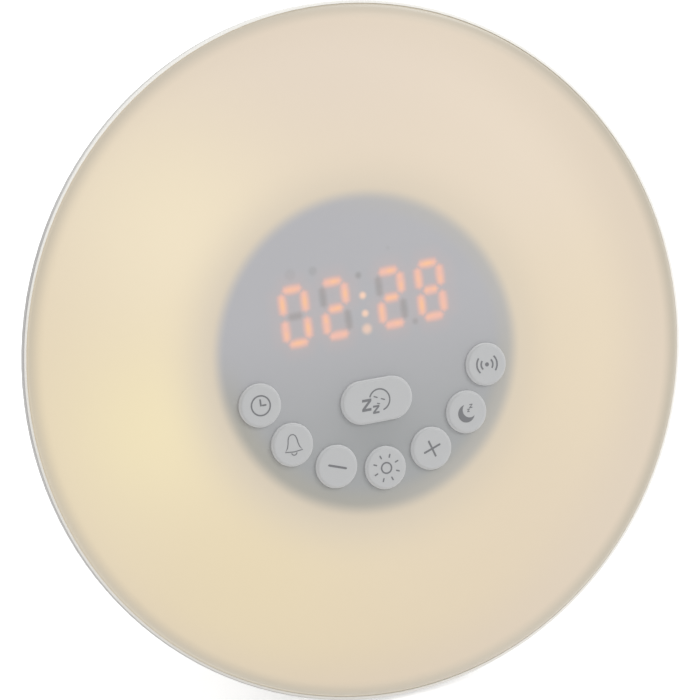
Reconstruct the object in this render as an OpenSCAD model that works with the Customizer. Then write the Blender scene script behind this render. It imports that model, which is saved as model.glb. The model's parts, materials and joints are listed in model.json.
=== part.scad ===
/* [Face] */
// Outer diameter of the round face, over the rim
face_d = 164; // [150:1:190]
// Angle by which the face leans back
tilt = 15; // [8:1:20]
// Width of the thin rim that shows round the front cover
rim_w = 0.75; // [0.6:0.05:1.2]
// Height of the rim above the plane of the face
rim_rise = 1; // [0.6:0.1:1.4]
// Height of the flat centre of the front cover above the plane of the face
centre_rise = 3.2; // [2.6:0.1:4]
// Height of the crown of the ring above the plane of the face
crown_rise = 5.5; // [5:0.1:7]
// Radius at which the ring has its crown
crown_r = 60; // [56:1:64]
// Radius of the arc across the ring
crown_arc_r = 100; // [90:1:140]
// Radius of the soft corner at the edge of the front cover
edge_r = 4; // [3:0.5:5]
// Radius of the hollow between the flat centre and the ring
hollow_r = 30; // [20:1:40]
// Wall of the front cover
skin_t = 2; // [1.6:0.1:2.2]

/* [Buttons] */
// Diameter of a round button
button_d = 10.2; // [9.4:0.1:10.4]
// Radius of the arc on which the round buttons lie
button_arc_r = 30.4; // [30:0.1:31]
// Height of the centre of that arc above the centre of the face
button_arc_y = 3.27; // [2.8:0.1:3.6]
// Angle between two neighbouring buttons
button_pitch = 23.2; // [22.8:0.1:23.6]
// Length of the snooze button
snooze_w = 17.8; // [15:0.1:19]
// Width of the snooze button
snooze_h = 10.3; // [9:0.1:11]
// Distance of the snooze button below the centre of the face
snooze_y = -11.05; // [-12:0.05:-10.8]
// How far the buttons stand proud of the front cover
button_proud = 1.1; // [0.6:0.1:1.6]
// Travel of a button
button_travel = 0.5; // [0.3:0.05:0.6]
// Gap between a button and the hole it stands in
button_gap = 0.2; // [0.15:0.05:0.25]

/* [Display] */
// Diameter of the grey light dam behind the front cover
dam_d = 75.2; // [74.6:0.2:77]
// Width of the display
display_w = 46; // [45:0.5:48]
// Height of the display
display_h = 19; // [18:0.5:20]
// Height of the middle of the display above the centre of the face
display_y = 12; // [11.6:0.1:12.6]
// Height of a digit
digit_h = 14.2; // [12:0.1:15]
// Width of a digit
digit_w = 7.4; // [6.6:0.1:7.8]
// Width of a lit bar
bar_w = 1.5; // [1.2:0.1:1.8]
// Depth of the display body
display_depth = 8; // [7.6:0.1:8.2]

/* [Housing] */
// Wall of the rear housing
wall = 2.2; // [2:0.1:2.4]
// Depth of the straight band behind the rim
band_h = 2; // [1.8:0.1:3]
// Radius of the bowl at its shoulder
bowl_r = 72; // [71.5:0.5:74]
// Depth of the shoulder behind the plane of the face
bowl_h = 21; // [20.5:0.5:22]
// Radius of the rear hub where it leaves the bowl
hub_r = 57; // [56:0.5:59]
// Depth at which the hub leaves the bowl
hub_h = 30; // [29:0.5:31]
// Radius of the rear hub at its back
back_r = 54; // [53:0.5:55]
// Depth of the back behind the plane of the face
back_h = 52; // [52:0.5:56]
// Width of the foot at the table
foot_w = 60; // [56:1:66]
// Length of the foot from front to back
foot_l = 48; // [46:1:52]
// Diameter of a rubber foot
pad_d = 9; // [7:0.5:11]
// How far the rubber feet stand out of the foot
pad_proud = 1.2; // [1:0.1:2]
// Gap between the rim and the table
rim_clear = 0.8; // [0.6:0.1:2]

/* [Inside] */
// Number of warm white lamps on the ring board
warm_count = 18; // [12:1:20]
// Number of coloured lamps on the ring board
colour_count = 6; // [4:1:8]
// Diameter of the loudspeaker
speaker_d = 36; // [32:0.5:36]
// Diameter of a backup cell
cell_d = 10.5; // [10:0.1:10.5]
// Length of a backup cell
cell_l = 44.5; // [44:0.1:44.5]
// Height of the power board above the inside of the back
power_rise = 6.3; // [5:0.1:8]

/* [Hidden] */
$fn = 64;
E = 0.01;

// Clearances and small sizes that several pieces share
fit_gap = 0.15;
seat_gap = 0.2;
board_t = 1.6;
boss_r = 2.3;
boss_hole_r = 0.85;
post_r = 4.6;
post_hole_r = 1.7;
thread_hole_r = 1.35;

// Front cover: all heights are above the plane of the face, towards the viewer
rim_r = face_d / 2;
cover_r = rim_r - rim_w - fit_gap;
cover_skirt = 0.5;
bowl_lean = (rim_r - bowl_r) / (bowl_h - band_h + rim_rise);
crown_c = crown_rise - crown_arc_r;
edge_c = crown_c + sqrt(pow(crown_arc_r - edge_r, 2) - pow(cover_r - edge_r - crown_r, 2));
hollow_x = crown_r - sqrt(pow(crown_arc_r + hollow_r, 2) - pow(centre_rise + hollow_r - crown_c, 2));
skin_in = centre_rise - skin_t;

// Buttons
button_r = button_d / 2;
button_top = centre_rise + button_proud;
flange_w = 0.5;
flange_t = 0.8;
flange_top = skin_in - seat_gap;
button_edge_r = 0.8;
snooze_r = snooze_h / 2;
snooze_run = snooze_w - snooze_h;
snooze_at = [0, snooze_y];
function arc_place(i) = [button_arc_r * sin(i * button_pitch),
                         button_arc_y - button_arc_r * cos(i * button_pitch)];
key_places = concat([for (i = [-3:3]) arc_place(i)], [snooze_at]);

// Light dam
dam_r = dam_d / 2;
dam_t = 1.5;
dam_wall = 1.5;
dam_top = flange_top;
dam_back = -19.2;
dam_hole_gap = 0.2;
window_gap = 0.3;

// Display
display_x = 0.6;
display_top = dam_top - 0.1;
display_back = display_top - display_depth;
bar_t = 0.3;
bar_gap = 0.15;
digit_xs = [-17.2, -7.05, 7.05, 17.2];
// Bars in the order top, top right, bottom right, bottom, bottom left, top left, middle
digit_bars = [
    [1, 1, 1, 1, 1, 1, 0],
    [1, 1, 0, 1, 1, 0, 1],
    [1, 1, 0, 1, 1, 0, 1],
    [1, 1, 1, 1, 1, 1, 1]
];
colon_r = 0.8;
colon_ys = [1.8, -2.3, -6.2];
decimal_gap = 1.4;
pin_r = 0.25;
pin_count = 12;
pin_pitch = 2.54;

// Key board and switches
key_board_top = -9;
key_board_gap = 0.5;
key_board_r = dam_r - dam_wall - key_board_gap;
key_boss_places = [[-23.5, 23.5], [23.5, 23.5], [-17.5, -5.5], [17.5, -5.5]];
switch_w = 6;
switch_h = 3.5;
plunger_r = 1.7;
plunger_gap = 0.15;
plunger_l = 2.8;
plunger_rest = 0.4;
plunger_top = key_board_top + switch_h + button_travel + plunger_rest;
stem_r = 1.9;

// Parts on the back of the key board: place, width, height and thickness
clock_chip = [0, 2, 10, 10, 1.5];
radio_chip = [12, 12, 8, 5, 1.6];
quartz = [-14, -1, 8, 3.4, 3];
buzzer_at = [-13, 10];
buzzer_r = 3;
buzzer_h = 6;

// Light ring
tray_top = -16;
tray_t = 1.2;
tray_in_r = dam_r + 0.3;
led_board_in_r = 40;
led_board_out_r = bowl_r - 6;
tray_floor_r = led_board_out_r - 2;
tray_rim_z = -4;
tray_rim_gap = 0.6;
tray_rim_r = bowl_inside(tray_rim_z) - tray_rim_gap - tray_t;
tray_boss_r = 3.4;
led_board_top = tray_top - tray_t - seat_gap;
led_w = 3.5;
led_t = 1;
led_hole_r = 3;
warm_r = (led_board_in_r + led_board_out_r) / 2 - 3;
colour_r = led_board_out_r - 9;
driver_chip = [-46, 20, 6, 5, 1.6];
resistor = [3.2, 1.6, 0.7];
resistor_count = 16;
resistor_r = led_board_out_r - 6;

// Case screws, which run from the bowl into bosses of the tray
case_screw_r = led_board_out_r - 5;
case_screw_places = [for (a = [45:90:315]) case_screw_r * [cos(a), sin(a)]];
post_top = led_board_top - board_t - seat_gap;
screw_seat = -24;
screw_shaft_r = 1.5;
screw_head_r = 2.8;
screw_head_t = 2;
screw_well_r = 3.3;
screw_end = -12.5;
tray_boss_top = -11.5;

// Loudspeaker
back_in = -back_h + wall;
speaker_at = [0, 24];
speaker_r = speaker_d / 2;
speaker_flange_t = 1;
speaker_flange_z = back_in + seat_gap;
speaker_h = 8;
speaker_plate = 0.8;
speaker_neck_z = speaker_flange_z + speaker_h;
speaker_neck_r = 9.5;
speaker_bore_r = 3.6;
basket_windows = 6;
basket_window_r = 2.8;
basket_window_at = (speaker_r + speaker_neck_r) / 2;
basket_tilt = 40;
cone_r = speaker_r - 4.6;
cone_cap_r = 3.4;
cone_t = 0.6;
cone_cap_t = 0.8;
surround_r = 0.6;
magnet_r = 10;
magnet_t = 6;
grille_hole_r = 1;
grille_step = 4.4;
grille_rings = 3;
speaker_screw_r = speaker_r + 3.2;
speaker_screw_places = [for (a = [45, 225]) speaker_at + speaker_screw_r * [cos(a), sin(a)]];

// Battery bay
cell_pitch = cell_d + 0.4;
contact_l = 3.2;
bay_w = cell_l + 2 * contact_l;
bay_h = 3 * cell_pitch + 0.6;
bay_y = -21;
bay_t = 1.5;
door_t = 2;
door_gap = 0.3;
door_lip = 2;
cell_rise = 1.7;
cell_tip_r = 1.9;
cell_tip_l = 1;
spring_tip_r = 1.8;
spring_base_r = 3.4;
contact_t = 0.4;
contact_in = 1.5;
grip_w = 18;
grip_step = 2;
grip_cut = 0.8;
notch_r = 6;
door_w = bay_w + 2 * door_lip;
door_h = bay_h + 2 * door_lip;
door_in = -back_h + door_t;
cell_z = door_in + cell_rise + cell_d / 2;
bay_top = cell_z + cell_d / 2 + 0.5;
door_axis_y = bay_y - door_h / 2 + door_t / 2;
door_axis_z = -back_h + door_t / 2;
door_pin_r = 0.7;
door_pin_l = 1.6;

// Power board
power_w = 16;
power_h = 18;
power_at = [32, 13];
power_top = back_in + power_rise;
socket_w = 7.6;
socket_h = 2.9;
socket_in = 0.6;
socket_wall = 0.4;
socket_deep = 5;
tongue_w = 4.6;
tongue_t = 0.7;
power_chip = [-3, -4, 5, 4, 1.5];
charge_chip = [3, 1.2, 4, 3, 2];
capacitor_at = [4, -4];
capacitor_r = 2.5;
capacitor_h = 6;
power_boss_places = [for (s = [-1, 1]) power_at + [s * (power_w / 2 - 2.5), power_h / 2 - 2.5]];

// Aerial grommet
grommet_at = [-33, 12];
grommet_r = 2;

// Ribbon leads, which end in a plug at each board
plug_w = 5;
plug_d = 3;
plug_h = 2;
ribbon_w = 4;
ribbon_t = 0.8;
ribbon_bend = 1.5;
ribbon_gap = 0.2;
key_plug_y = -29;
lamp_plug_y = -46;
power_plug_at = power_at + [-4, 1.5];
lamp_plug_x = 46;
key_ribbon_z = -23.5;
power_ribbon_z = -31;

// Place of the middle of the face over the table, with the footprint centred
disc_z = rim_r * cos(tilt) + (band_h - rim_rise) * sin(tilt) + rim_clear;
front_reach = (cover_r - edge_r) * sin(tilt) + edge_c * cos(tilt) + edge_r;
back_round = 4;
back_reach = (back_r - back_round) * sin(tilt) + (back_h - back_round) * cos(tilt) + back_round;
disc_y = (front_reach - back_reach) / 2;
foot_front = disc_y - 1;
foot_round = 6;
corner_step = 9;
foot_wide = foot_w + 1;
foot_top_w = foot_w - 10;
foot_bury = 10;
foot_top = disc_z - hub_r + foot_bury;
toe_h = 8;
toe_l = 14;
heel_h = 5;
heel_l = 9;
pad_in = 0.9;
pad_inset = 7;
pad_gap = 0.1;

// ---------- helpers ----------

function unit(v) = v / norm(v);
function way(pts, i) = unit(pts[(i + 1) % len(pts)] - pts[i]);
function left_of(v) = [-v[1], v[0]];

// Inner radius of the bowl at a height z between its band and its shoulder
function bowl_inside(z) = rim_r - (rim_rise - band_h - z) * bowl_lean - wall * sqrt(1 + bowl_lean * bowl_lean);

// Outline with each side moved inwards; points on the axis stay on it
function inset(pts, w) = [for (i = [0:len(pts) - 1])
    let (a = left_of(way(pts, (i + len(pts) - 1) % len(pts))), b = left_of(way(pts, i)),
         p = pts[i] + w * (a + b) / (1 + a * b))
    [pts[i][0] == 0 ? 0 : p[0], p[1]]];

// Points of a counter-clockwise outline with a radius at each corner
function rounded_points(pts, radii) = [for (i = [0:len(pts) - 1])
    let (a = way(pts, (i + len(pts) - 1) % len(pts)), b = way(pts, i), r = radii[i],
         turn = atan2(a[0] * b[1] - a[1] * b[0], a * b),
         out = -left_of(a) * sign(turn),
         centre = pts[i] - a * r * tan(abs(turn) / 2) - out * r,
         steps = max(2, ceil(abs(turn) / corner_step)))
    each r == 0 ? [pts[i]]
        : [for (k = [0:steps]) centre + r * turned(out, turn * k / steps)]];
function turned(v, a) = [v[0] * cos(a) - v[1] * sin(a), v[0] * sin(a) + v[1] * cos(a)];

module rounded(pts, radii) {
    polygon(rounded_points(pts, radii));
}

module on_face() {
    translate([0, disc_y, disc_z]) rotate([90 - tilt, 0, 0]) children();
}

module at_z(z) {
    translate([0, 0, z]) children();
}

module at_places(places) {
    for (p = places) translate(p) children();
}

// Straight prism from z0 up to z1
module rod(r, z0, z1) {
    at_z(z0) cylinder(r = r, h = z1 - z0);
}

module block(w, h, z0, z1) {
    translate([-w / 2, -h / 2, z0]) cube([w, h, z1 - z0]);
}

// Flat part [x, y, width, height, thickness] that lies on z and rises up, or hangs down where way is -1
module chip(part, z, way = 1) {
    translate([part[0], part[1]]) block(part[2], part[3], min(z, z + way * part[4]), max(z, z + way * part[4]));
}

module pill(run, r, z0, z1) {
    for (s = [-1, 1]) translate([s * run / 2, 0, 0]) rod(r, z0, z1);
    block(run, 2 * r, z0, z1);
}

// Ring of copies round the axis, the first at the angle start
module ring_of(count, r, start = 0) {
    for (i = [0:count - 1]) rotate(start + i * 360 / count) translate([r, 0, 0]) children();
}

// ---------- front ----------

function arc_points(centre, r, a0, a1, steps) = [for (k = [0:steps])
    let (a = a0 + (a1 - a0) * k / steps) centre + r * [cos(a), sin(a)]];

// Half profile of the front cover, moved inwards by inner; arcs meet with a short step between them
arc_step = 1;
module cover_profile(inner) {
    crown_at = [crown_r, crown_c];
    corner_at = [cover_r - edge_r, edge_c];
    hollow_at = [hollow_x, centre_rise + hollow_r];
    corner_end = atan2(corner_at[1] - crown_c, corner_at[0] - crown_r);
    crown_end = atan2(hollow_at[1] - crown_c, hollow_at[0] - crown_r);
    polygon(concat(
        [[0, -cover_skirt], [cover_r - inner, -cover_skirt]],
        arc_points(corner_at, edge_r - inner, 0, corner_end, 8),
        arc_points(crown_at, crown_arc_r - inner, corner_end + arc_step, crown_end, 12),
        arc_points(hollow_at, hollow_r + inner, crown_end + 180 - 2 * arc_step, 270, 4),
        [[0, centre_rise - inner]]));
}

module button_holes(extra, z0, z1) {
    at_places([for (i = [-3:3]) arc_place(i)]) rod(button_r + extra, z0, z1);
    translate(snooze_at) pill(snooze_run, snooze_r + extra, z0, z1);
}

module front_diffuser() {
    color([0.94, 0.89, 0.8]) on_face() difference() {
        rotate_extrude($fn = 180) difference() {
            cover_profile(0);
            cover_profile(skin_t);
            translate([-E, -cover_skirt - 1]) square([cover_r - skin_t + E, 1 + E]);
        }
        button_holes(button_gap, skin_in - 1, button_top);
    }
}

module light_dam() {
    color([0.7, 0.71, 0.72]) on_face() difference() {
        union() {
            rod(dam_r, dam_top - dam_t, dam_top);
            difference() {
                rod(dam_r, dam_back, dam_top - E);
                rod(dam_r - dam_wall, dam_back - 1, dam_top - dam_t);
            }
            at_places(key_boss_places) rod(boss_r, key_board_top, dam_top - dam_t + E);
        }
        button_holes(flange_w + dam_hole_gap, dam_top - dam_t - 1, dam_top + 1);
        translate([display_x, display_y]) block(display_w + 2 * window_gap, display_h + 2 * window_gap,
                                                dam_top - dam_t - 1, dam_top + 1);
        at_places(key_boss_places) rod(boss_hole_r, key_board_top - 1, key_board_top + 5);
    }
}

// ---------- light ring ----------

module reflector() {
    color([0.96, 0.96, 0.94]) on_face() difference() {
        union() {
            rotate_extrude() polygon([
                [tray_in_r, tray_top - tray_t], [tray_floor_r, tray_top - tray_t],
                [tray_rim_r + tray_t, tray_rim_z], [tray_rim_r, tray_rim_z],
                [tray_floor_r - tray_t / 2, tray_top], [tray_in_r, tray_top]]);
            at_places(case_screw_places) rod(tray_boss_r, tray_top - tray_t / 2, tray_boss_top);
        }
        ring_of(warm_count, warm_r) rod(led_hole_r, tray_top - tray_t - 1, tray_top + 1);
        ring_of(colour_count, colour_r, 180 / warm_count) rod(led_hole_r, tray_top - tray_t - 1, tray_top + 1);
        at_places(case_screw_places) rod(thread_hole_r + 0.25, tray_top - tray_t - 1, screw_end + 0.5);
    }
}

module led_board() {
    color([0.93, 0.94, 0.92]) on_face() difference() {
        rod(led_board_out_r, led_board_top - board_t, led_board_top);
        rod(led_board_in_r, led_board_top - board_t - 1, led_board_top + 1);
        at_places(case_screw_places) rod(post_hole_r, led_board_top - board_t - 1, led_board_top + 1);
    }
}

// Driver, resistors and plugs on the back of the ring board
module led_board_chips() {
    back = led_board_top - board_t;
    color([0.1, 0.1, 0.12]) on_face() {
        chip(driver_chip, back, -1);
        ring_of(resistor_count, resistor_r, 180 / resistor_count) chip(concat([0, 0], resistor), back, -1);
        translate([0, lamp_plug_y]) block(plug_w, plug_d, back - plug_h, back);
        translate([lamp_plug_x, power_plug_at[1]]) block(plug_d, plug_w, back - plug_h, back);
    }
}

module lamp() {
    block(led_w, led_w, led_board_top, led_board_top + led_t);
    rod(led_w / 2 - 0.4, led_board_top + led_t, led_board_top + led_t + 0.3);
}

module warm_leds() {
    color([1, 0.85, 0.5]) on_face() ring_of(warm_count, warm_r) lamp();
}

module colour_leds() {
    color([0.9, 0.9, 0.95]) on_face() ring_of(colour_count, colour_r, 180 / warm_count) lamp();
}

// ---------- display ----------

module on_display() {
    on_face() translate([display_x, display_y]) children();
}

// One bar of a digit: k counts as in digit_bars
module bar(k) {
    half_w = (digit_w - bar_w) / 2;
    half_h = (digit_h - bar_w) / 2;
    side = bar_w / 2;
    long = k == 1 || k == 2 || k == 4 || k == 5;
    reach = (long ? half_h : 2 * half_w) / 2 - bar_gap;
    place = [[0, half_h], [half_w, half_h / 2], [half_w, -half_h / 2], [0, -half_h],
             [-half_w, -half_h / 2], [-half_w, half_h / 2], [0, 0]][k];
    at_z(display_top) translate(place) rotate(long ? 90 : 0) linear_extrude(bar_t)
        polygon([[-reach, 0], [side - reach, -side], [reach - side, -side], [reach, 0],
                 [reach - side, side], [side - reach, side]]);
}

module bars(lit) {
    for (d = [0:3], k = [0:6]) if (digit_bars[d][k] == lit) translate([digit_xs[d], 0]) bar(k);
}

module display_body() {
    color([0.32, 0.33, 0.34]) on_display() block(display_w, display_h, display_back, display_top);
}

module display_bars_lit() {
    color([1, 0.55, 0.3]) on_display() {
        bars(1);
        for (y = colon_ys) translate([0, y]) rod(colon_r, display_top, display_top + bar_t);
    }
}

module display_bars_unlit() {
    color([0.55, 0.55, 0.55]) on_display() {
        bars(0);
        translate([digit_xs[2] + digit_w / 2 + decimal_gap, colon_ys[2]]) rod(colon_r, display_top, display_top + bar_t);
    }
}

module display_pins() {
    color([0.8, 0.8, 0.8]) on_display() for (s = [-1, 1], i = [0:pin_count / 2 - 1])
        translate([(i - (pin_count / 2 - 1) / 2) * pin_pitch, s * (display_h / 2 - 2)])
            rod(pin_r, key_board_top, display_back);
}

// ---------- key board ----------

module key_board() {
    color([0.12, 0.4, 0.25]) on_face() difference() {
        rod(key_board_r, key_board_top - board_t, key_board_top);
        at_places(key_boss_places) rod(1.2, key_board_top - board_t - 1, key_board_top + 1);
    }
}

module key_board_chips() {
    back = key_board_top - board_t;
    color([0.1, 0.1, 0.12]) on_face() {
        for (part = [clock_chip, radio_chip, quartz]) chip(part, back, -1);
        translate(buzzer_at) rod(buzzer_r, back - buzzer_h, back);
        translate([0, key_plug_y]) block(plug_w, plug_d, back - plug_h, back);
    }
}

// Pan-head screw that enters a board from behind
module board_screw(seat, shaft_top) {
    rod(boss_hole_r - 0.05, seat, shaft_top);
    rod(2, seat - 1.4, seat);
}

module key_board_screws() {
    color([0.75, 0.75, 0.76]) on_face() at_places(key_boss_places)
        board_screw(key_board_top - board_t, key_board_top + 4);
}

module switch_bodies() {
    color([0.2, 0.2, 0.22]) on_face() at_places(key_places) difference() {
        block(switch_w, switch_w, key_board_top, key_board_top + switch_h);
        rod(plunger_r + plunger_gap, key_board_top + 0.6, key_board_top + switch_h + 1);
    }
}

module plunger(i) {
    color([0.15, 0.15, 0.15]) on_face() translate(key_places[i]) rod(plunger_r, plunger_top - plunger_l, plunger_top);
}

// Half profile of a button of radius r
module button_profile(r) {
    rounded([[0, flange_top - flange_t], [r + flange_w, flange_top - flange_t], [r + flange_w, flange_top],
             [r, flange_top], [r, button_top], [0, button_top]],
            [0, 0.2, 0, 0, button_edge_r, 0]);
}

module round_button(i) {
    color([0.93, 0.93, 0.92]) on_face() translate(key_places[i]) {
        rotate_extrude() button_profile(button_r);
        rod(stem_r, plunger_top, flange_top - flange_t + E);
    }
}

module snooze_button() {
    color([0.93, 0.93, 0.92]) on_face() translate(snooze_at) {
        for (s = [-1, 1]) translate([s * snooze_run / 2, 0]) rotate_extrude() button_profile(snooze_r);
        rotate([90, 0, 90]) at_z(-snooze_run / 2) linear_extrude(snooze_run) {
            button_profile(snooze_r);
            mirror([1, 0]) button_profile(snooze_r);
        }
        rod(stem_r, plunger_top, flange_top - flange_t + E);
    }
}

// ---------- ribbon leads ----------

// Flat lead of width w along the axis y, whose middle follows the points of path
module ribbon(path, w) {
    half = ribbon_t / 2;
    n = len(path);
    shift = [for (i = [0:n - 1])
        let (a = unit(path[max(i, 1)] - path[max(i, 1) - 1]),
             b = unit(path[min(i + 1, n - 1)] - path[min(i, n - 2)]))
        half * (left_of(a) + left_of(b)) / (1 + a * b)];
    bends = [for (i = [0:n - 1]) i == 0 || i == n - 1 ? 0 : ribbon_bend];
    rotate([90, 0, 0]) linear_extrude(w, center = true) rounded(
        concat([for (i = [0:n - 1]) path[i] - shift[i]], [for (i = [n - 1:-1:0]) path[i] + shift[i]]),
        concat(bends, [for (i = [n - 1:-1:0]) bends[i]]));
}

module ribbon_leads() {
    lamp_plug_z = led_board_top - board_t - plug_h - ribbon_gap;
    color([0.75, 0.75, 0.78]) on_face() {
        rotate(-90) ribbon([[-key_plug_y, key_board_top - board_t - plug_h - ribbon_gap], [-key_plug_y, key_ribbon_z],
                            [-lamp_plug_y, key_ribbon_z], [-lamp_plug_y, lamp_plug_z]], ribbon_w);
        translate([0, power_plug_at[1]])
            ribbon([[power_plug_at[0], power_top + plug_h + ribbon_gap], [power_plug_at[0], power_ribbon_z],
                    [lamp_plug_x, power_ribbon_z], [lamp_plug_x, lamp_plug_z]], ribbon_w);
    }
}

// ---------- rear housing ----------

function bowl_points(top) = [[0, -back_h], [back_r, -back_h], [hub_r, -hub_h], [bowl_r, -bowl_h],
                             [rim_r, rim_rise - band_h], [rim_r, top], [0, top]];
hub_round = 8;
shoulder_round = 10;
band_round = 1;
rim_round = 0.3;
bowl_radii = [0, back_round, hub_round, shoulder_round, band_round, rim_round, 0];
bowl_radii_in = [0, back_round - wall, hub_round + wall, shoulder_round - wall, 0, 0, 0];

// Foot that carries the hub, in the frame of the table, moved inwards by in
module foot_block(in = 0) {
    front = foot_front + in;
    back = foot_front + foot_l - in;
    low = pad_proud + in;
    wide = foot_wide / 2 - in;
    narrow = foot_top_w / 2 - in;
    half_w = foot_w / 2 - in;
    half_l = foot_l / 2 - in;
    intersection() {
        translate([-half_w, 0, 0]) rotate([90, 0, 90]) linear_extrude(2 * half_w)
            polygon([[front, low], [back, low], [back, low + heel_h], [back - heel_l, foot_top],
                     [front + toe_l, foot_top], [front, low + toe_h]]);
        translate([0, back + 1, 0]) rotate([90, 0, 0]) linear_extrude(foot_l + 2)
            rounded([[-wide, low], [wide, low], [narrow, foot_top + 1], [-narrow, foot_top + 1]], [2, 2, 0, 0]);
        // Plan view with rounded corners
        translate([0, foot_front + foot_l / 2, 0]) linear_extrude(disc_z)
            rounded([[-half_w, -half_l], [half_w, -half_l], [half_w, half_l], [-half_w, half_l]],
                    [for (i = [0:3]) foot_round - in]);
    }
}

module bay_walls() {
    translate([0, bay_y]) difference() {
        block(bay_w + 2 * bay_t, bay_h + 2 * bay_t, back_in - wall / 2, bay_top + bay_t);
        block(bay_w, bay_h, back_in - 1, bay_top);
    }
}

module housing_cuts() {
    rod(cover_r + fit_gap, -cover_skirt - fit_gap, rim_rise + 1);
    // Battery bay and the seat of its door
    translate([0, bay_y]) {
        block(bay_w, bay_h, -back_h - 1, back_in + 1);
        block(door_w + 2 * door_gap, door_h + 2 * door_gap, -back_h - 1, door_in + 0.1);
    }
    for (s = [-1, 1]) translate([s * (door_w / 2 + door_pin_l / 2 + door_gap / 2), door_axis_y, door_axis_z])
        rotate([0, 90, 0]) cylinder(r = door_pin_r + 0.2, h = door_pin_l + 0.6, center = true);
    translate([0, bay_y + door_h / 2 + notch_r / 2, -back_h - notch_r * 2 / 3]) sphere(notch_r);
    // Loudspeaker grille
    translate(speaker_at) {
        rod(grille_hole_r, -back_h - 1, back_in + 1);
        for (k = [1:grille_rings]) ring_of(6 * k, k * grille_step) rod(grille_hole_r, -back_h - 1, back_in + 1);
    }
    translate(power_at) block(socket_w + 0.6, socket_h + 0.6, -back_h - 1, back_in + 1);
    translate(grommet_at) rod(grommet_r + 0.1, -back_h - 1, back_in + 1);
    at_places(case_screw_places) {
        rod(screw_well_r, -back_h, screw_seat);
        rod(post_hole_r, screw_seat - 1, post_top + 1);
    }
}

module rear_housing() {
    color([0.95, 0.95, 0.94]) difference() {
        union() {
            difference() {
                union() {
                    on_face() rotate_extrude($fn = 180) rounded(bowl_points(rim_rise), bowl_radii);
                    foot_block();
                }
                on_face() rotate_extrude($fn = 180)
                    rounded(inset(bowl_points(rim_rise + 1 + wall), wall), bowl_radii_in);
                foot_block(wall);
            }
            on_face() {
                bay_walls();
                intersection() {
                    at_places(case_screw_places) rod(post_r, -back_h, post_top);
                    rotate_extrude() polygon(inset(bowl_points(0), wall / 2));
                }
                at_places(speaker_screw_places) rod(boss_r, back_in - wall / 2, speaker_flange_z + speaker_flange_t);
                at_places(power_boss_places) rod(boss_r, back_in - wall / 2, power_top - board_t);
            }
        }
        on_face() {
            housing_cuts();
            at_places(speaker_screw_places) rod(boss_hole_r, back_in + 0.4, 0);
            at_places(power_boss_places) rod(boss_hole_r, back_in + 0.4, 0);
        }
        pad_places() rod(pad_d / 2 + pad_gap, -1, pad_proud + pad_in);
    }
}

module pad_places() {
    for (x = [-1, 1], y = [pad_inset, foot_l - pad_inset])
        translate([x * (foot_w / 2 - pad_inset), foot_front + y, 0]) children();
}

module rubber_feet() {
    color([0.15, 0.15, 0.15]) pad_places() rotate_extrude()
        rounded([[0, 0], [pad_d / 2, 0], [pad_d / 2, pad_proud + pad_in], [0, pad_proud + pad_in]], [0, 0.5, 0, 0]);
}

module case_screws() {
    color([0.7, 0.7, 0.72]) on_face() at_places(case_screw_places) difference() {
        union() {
            rod(screw_shaft_r, screw_seat - E, screw_end);
            rod(screw_head_r, screw_seat - screw_head_t, screw_seat);
        }
        for (a = [0, 90]) rotate(a) block(3.2, 0.8, screw_seat - screw_head_t - 1, screw_seat - screw_head_t + 1);
    }
}

// ---------- loudspeaker ----------

module on_speaker() {
    on_face() translate(speaker_at) children();
}

module speaker_frame() {
    color([0.3, 0.3, 0.32]) on_speaker() difference() {
        rotate_extrude() polygon([
            [speaker_r - 2.2, speaker_flange_z], [speaker_r, speaker_flange_z],
            [speaker_r, speaker_flange_z + speaker_flange_t], [speaker_r - 1.6, speaker_flange_z + speaker_flange_t],
            [speaker_neck_r, speaker_neck_z], [speaker_bore_r, speaker_neck_z],
            [speaker_bore_r, speaker_neck_z - speaker_plate],
            [speaker_neck_r - speaker_plate, speaker_neck_z - speaker_plate]]);
        at_z((speaker_flange_z + speaker_neck_z) / 2) ring_of(basket_windows, basket_window_at)
            rotate([0, basket_tilt, 0]) cylinder(r = basket_window_r, h = speaker_h, center = true);
    }
}

module speaker_magnet() {
    color([0.2, 0.2, 0.22]) on_speaker() rod(magnet_r, speaker_neck_z, speaker_neck_z + magnet_t);
}

module speaker_cone() {
    cap_z = speaker_neck_z - speaker_plate - 2 * cone_t;
    edge_z = speaker_flange_z + speaker_flange_t / 2;
    color([0.12, 0.12, 0.13]) on_speaker() rotate_extrude() {
        polygon([[0, cap_z], [cone_cap_r, cap_z], [cone_r, edge_z], [cone_r, edge_z + cone_t],
                 [cone_cap_r, cap_z + cone_cap_t], [0, cap_z + cone_cap_t]]);
        translate([cone_r + surround_r * 2 / 3, edge_z + surround_r * 2 / 3]) circle(surround_r);
    }
}

module speaker_screws() {
    color([0.75, 0.75, 0.76]) on_face() at_places(speaker_screw_places) {
        rod(boss_hole_r - 0.05, back_in + 0.8, speaker_flange_z + speaker_flange_t + E);
        rod(3.4, speaker_flange_z + speaker_flange_t, speaker_flange_z + speaker_flange_t + 1);
    }
}

// ---------- power ----------

module power_board() {
    color([0.12, 0.4, 0.25]) on_face() difference() {
        translate(power_at) block(power_w, power_h, power_top - board_t, power_top);
        at_places(power_boss_places) rod(1.2, power_top - board_t - 1, power_top + 1);
    }
}

module power_board_chips() {
    color([0.1, 0.1, 0.12]) on_face() translate(power_at) {
        for (part = [power_chip, charge_chip]) chip(part, power_top);
        translate(capacitor_at) rod(capacitor_r, power_top, power_top + capacitor_h);
        translate(power_plug_at - power_at) block(plug_w, plug_d, power_top, power_top + plug_h);
    }
}

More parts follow.
